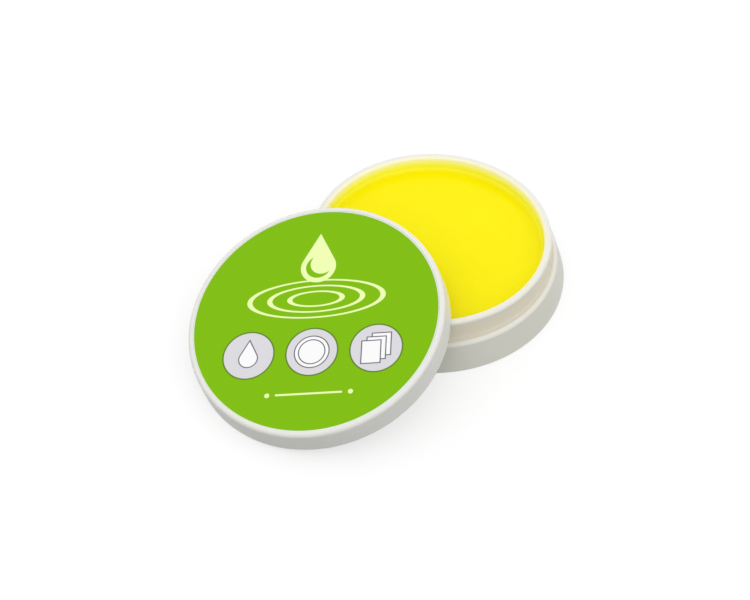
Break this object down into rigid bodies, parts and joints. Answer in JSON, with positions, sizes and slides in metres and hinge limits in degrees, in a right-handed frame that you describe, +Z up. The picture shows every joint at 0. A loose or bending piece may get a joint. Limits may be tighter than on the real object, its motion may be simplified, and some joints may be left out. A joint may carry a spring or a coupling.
{
  "type": "finger moistener",
  "caption": "Shallow round white plastic pot of yellow gel for wetting a fingertip, with its push-on lid, a green label in its top, off and leaning on the rim.",
  "frame": {"origin": "middle of the pot's base, on the surface that it stands on", "axes": "+Z up along the pot's axis; the lid leans from the -X side, so +X points from the lid to the pot and the XZ plane is the plane of symmetry"},
  "size_m": [0.1042, 0.0682, 0.0227],
  "materials": {
    "white_plastic": "moulded, satin",
    "yellow_gel": "wet, smooth and level",
    "printed_label": "printed film with a thin gloss",
    "plain_label": "uncoated paper"
  },
  "bodies": {
    "filled_pot": {"pot": "white_plastic", "gel": "yellow_gel", "base_label": "plain_label"},
    "loose_lid": {"lid": "white_plastic", "lid_label": "printed_label"}
  },
  "joints": [
    {"name": "lid_lift", "type": "slide", "parent": "filled_pot", "child": "loose_lid", "axis": [0, 0, 1], "range_m": [0, 0.03]}
  ]
}
